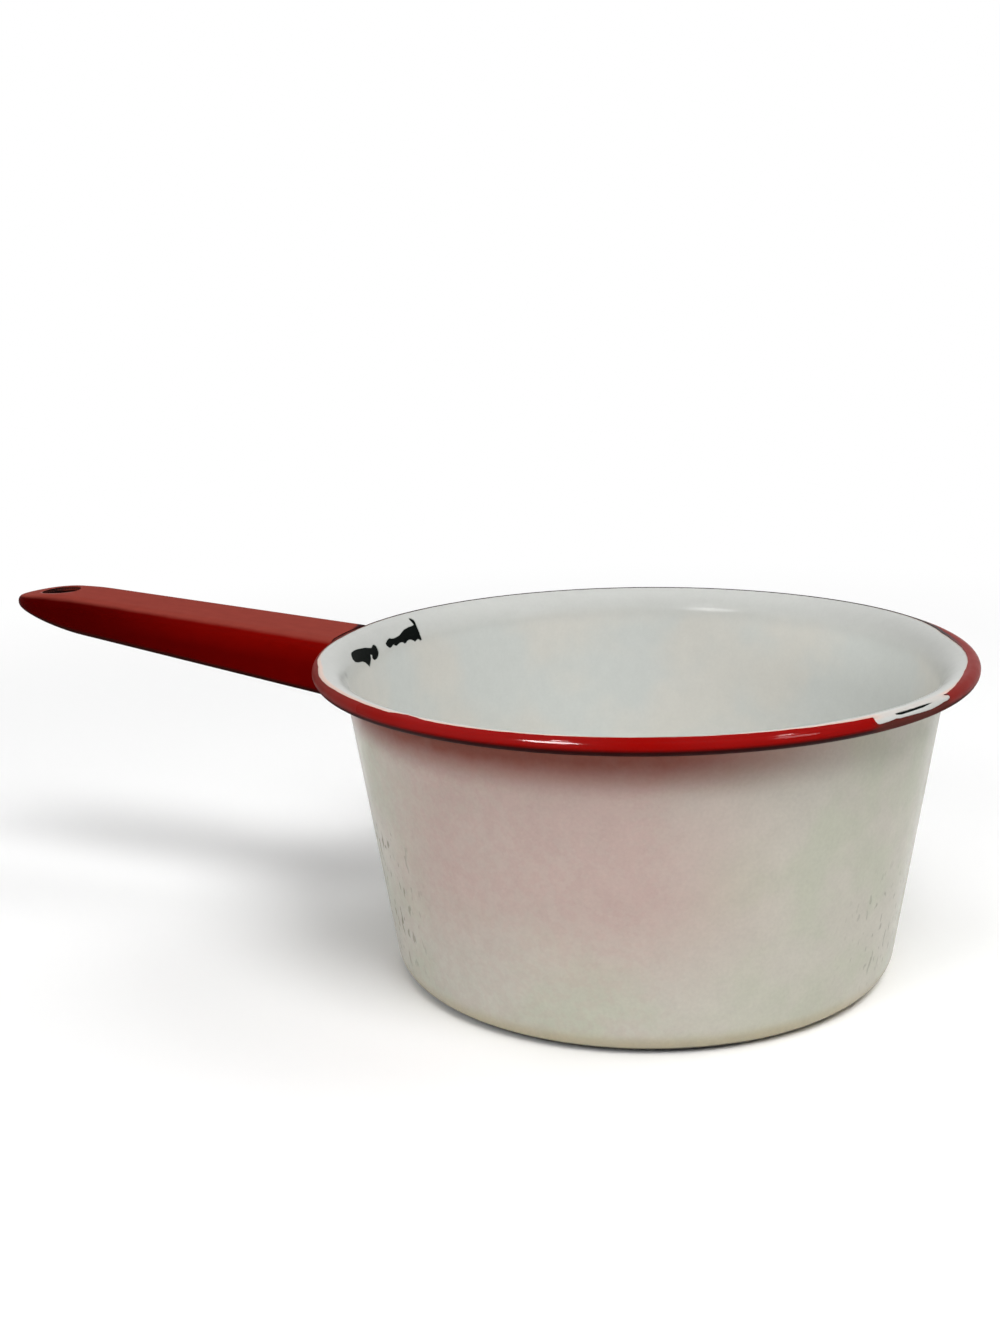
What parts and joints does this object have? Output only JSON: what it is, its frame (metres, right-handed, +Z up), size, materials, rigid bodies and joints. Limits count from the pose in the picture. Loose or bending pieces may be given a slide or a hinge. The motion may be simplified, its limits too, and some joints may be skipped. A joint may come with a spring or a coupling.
{
  "type": "saucepan",
  "caption": "Enamelled steel saucepan with a tapered open bowl, flared lip, red rolled rim and a red folded-sheet handle with a hanging hole.",
  "frame": {"origin": "on the bowl's axis, in the plane that the pan stands on", "axes": "+Z up along the bowl's axis, -X along the handle, away from the bowl"},
  "size_m": [0.3296, 0.2, 0.1049],
  "materials": {
    "bare_steel": "dark, heat-stained drawn sheet, bare only across the standing face",
    "handle_steel": "bare sheet edge, worn grey round the hanging hole",
    "weld_metal": "fused steel, hidden between the sheets",
    "black_ground": "black ground-coat enamel, dull where a chip bares it",
    "white_inside": "glossy cool-white cover enamel with faint orange peel",
    "white_outside": "glossy warm-white cover enamel, faintly mottled, stained at the foot",
    "red_rim": "glossy red enamel",
    "red_handle": "satin red enamel, dulled on top by handling"
  },
  "bodies": {
    "root": {"bowl_pressing": "bare_steel", "handle_pressing": "handle_steel", "spot_welds": "weld_metal", "inner_ground_coat": "black_ground", "outer_ground_coat": "black_ground", "inner_white_coat": "white_inside", "outer_white_coat": "white_outside", "rim_red_coat": "red_rim", "handle_red_coat": "red_handle"}
  },
  "joints": []
}
